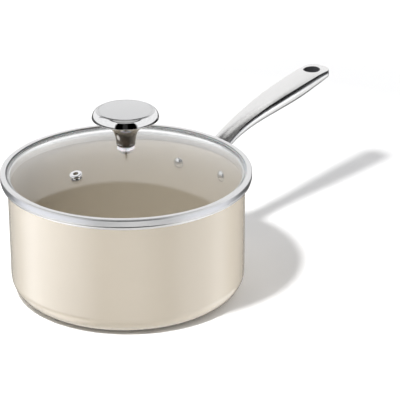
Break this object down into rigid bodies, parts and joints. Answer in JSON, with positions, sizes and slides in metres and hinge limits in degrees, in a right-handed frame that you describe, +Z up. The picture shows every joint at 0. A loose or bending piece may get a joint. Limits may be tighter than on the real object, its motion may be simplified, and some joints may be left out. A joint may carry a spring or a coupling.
{
  "type": "saucepan with glass lid",
  "caption": "Straight-sided saucepan with a riveted long steel handle with a hanging hole, and a domed glass lid with a steel band, steam vent and knob that lifts off.",
  "frame": {"origin": "centre of the underside of the base, on the surface that the pan stands on", "axes": "+Z up through the knob, +X along the long handle, +Y to the left of a person who holds the handle and looks at the pan from behind it"},
  "size_m": [0.3665, 0.206, 0.1564],
  "materials": {
    "pan_body": "satin bare metal at the rim and base",
    "cream_enamel": "glossy cream enamel",
    "ceramic_coating": "glossy pale ceramic coating",
    "induction_steel": "satin ferritic steel",
    "handle_steel": "polished stainless steel",
    "rivet_steel": "polished stainless steel",
    "liner_dark": "dark grey moulded liner",
    "clear_glass": "clear tempered glass",
    "band_steel": "satin stainless steel",
    "clear_rubber": "translucent silicone",
    "polished_steel": "polished stainless steel",
    "knob_dark": "dark glossy heat-proof resin",
    "satin_steel": "satin stainless steel",
    "insert_brass": "turned brass"
  },
  "bodies": {
    "pan": {"pan_body": "pan_body", "exterior_enamel": "cream_enamel", "interior_coating": "ceramic_coating", "induction_plate": "induction_steel", "handle_flange": "handle_steel", "handle_rivets": "rivet_steel", "handle_upper_shell": "handle_steel", "handle_lower_shell": "handle_steel", "hang_hole_sleeve": "liner_dark"},
    "lid": {"lid_glass": "clear_glass", "lid_rim_band": "band_steel", "rim_seal": "clear_rubber", "vent_gasket": "clear_rubber", "vent_eyelet": "polished_steel", "knob_body": "knob_dark", "knob_cap": "polished_steel", "knob_top_disc": "satin_steel", "knob_insert": "insert_brass", "knob_upper_gasket": "clear_rubber", "knob_lower_gasket": "clear_rubber", "knob_washer": "polished_steel", "knob_screw": "polished_steel"}
  },
  "joints": [
    {"name": "lid_lift", "type": "slide", "parent": "pan", "child": "lid", "axis": [0, 0, 1], "range_m": [0, 0.1]}
  ]
}
